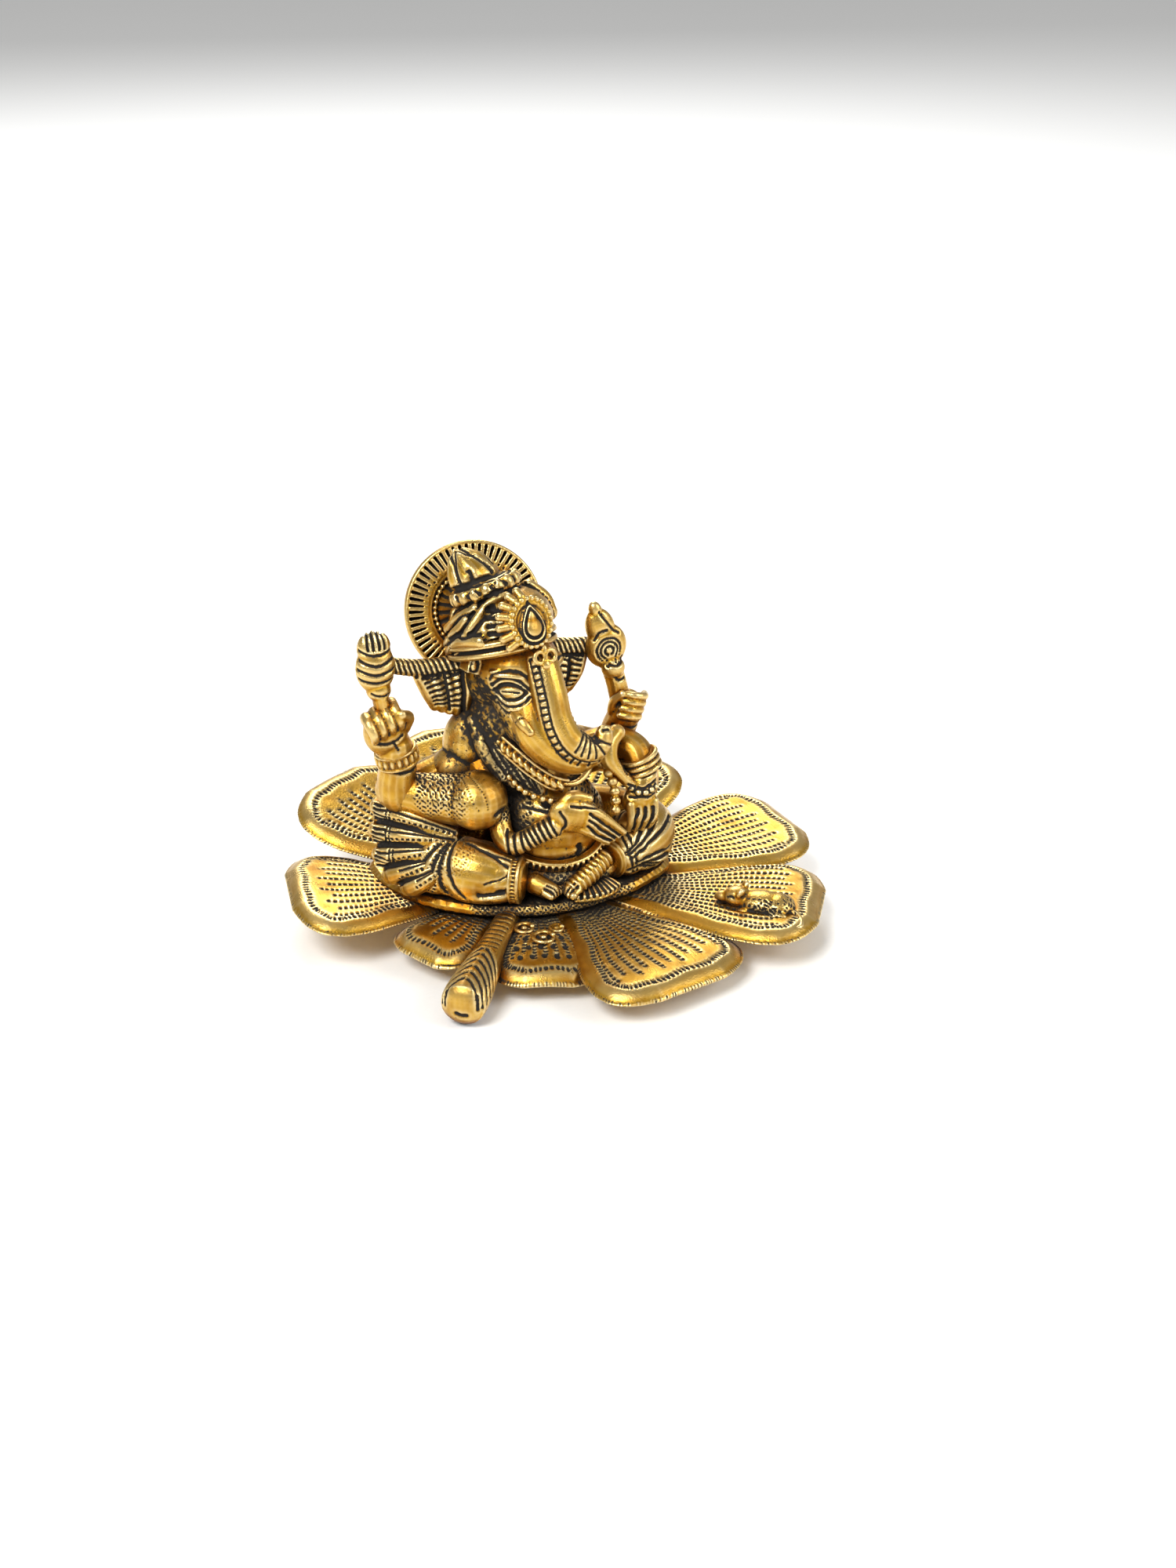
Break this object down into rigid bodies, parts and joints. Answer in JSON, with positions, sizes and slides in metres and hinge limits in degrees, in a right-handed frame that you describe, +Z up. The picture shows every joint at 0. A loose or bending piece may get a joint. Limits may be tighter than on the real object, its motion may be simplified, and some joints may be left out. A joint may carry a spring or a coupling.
{
  "type": "hindu deity statue",
  "caption": "Seated elephant-headed deity figurine in antique gold metal, with halo and tall crown, on an open flower with stem, leaves and a mouse on one petal.",
  "frame": {"origin": "centre of the foot ring's resting face, on the floor under the middle of the flower", "axes": "+Z up; the seated figure looks along -Y, so its right hand is at -X; the flower's stem points to -X and -Y"},
  "size_m": [0.1505, 0.1453, 0.1072],
  "materials": {
    "antique_gold": "cast brass, gold-plated and darkened in the recesses, raised surfaces rubbed bright",
    "fixing_steel": "zinc-plated screw and washer under the flower"
  },
  "bodies": {
    "root": {"flower_hub": "antique_gold", "petal_1": "antique_gold", "petal_2": "antique_gold", "petal_3": "antique_gold", "petal_4": "antique_gold", "petal_5": "antique_gold", "petal_6": "antique_gold", "petal_7": "antique_gold", "leaf_left": "antique_gold", "leaf_right": "antique_gold", "stem": "antique_gold", "mouse": "antique_gold", "fixing_screw": "fixing_steel", "fixing_washer": "fixing_steel", "seat_plate": "antique_gold", "torso": "antique_gold", "belly_band": "antique_gold", "right_leg": "antique_gold", "left_leg": "antique_gold", "right_foot": "antique_gold", "left_foot": "antique_gold", "ankle_cuffs": "antique_gold", "hem_fan": "antique_gold", "hip_cloth": "antique_gold", "bolster": "antique_gold", "right_rear_arm": "antique_gold", "right_bangle": "antique_gold", "left_rear_arm": "antique_gold", "right_front_arm": "antique_gold", "left_front_arm": "antique_gold", "left_armlet": "antique_gold", "axe": "antique_gold", "conch": "antique_gold", "head": "antique_gold", "trunk": "antique_gold", "tusk": "antique_gold", "right_ear": "antique_gold", "left_ear": "antique_gold", "brow_band": "antique_gold", "brow_curl": "antique_gold", "crown": "antique_gold", "crown_jewel": "antique_gold", "halo": "antique_gold", "necklace": "antique_gold", "bead_string": "antique_gold"}
  },
  "joints": []
}
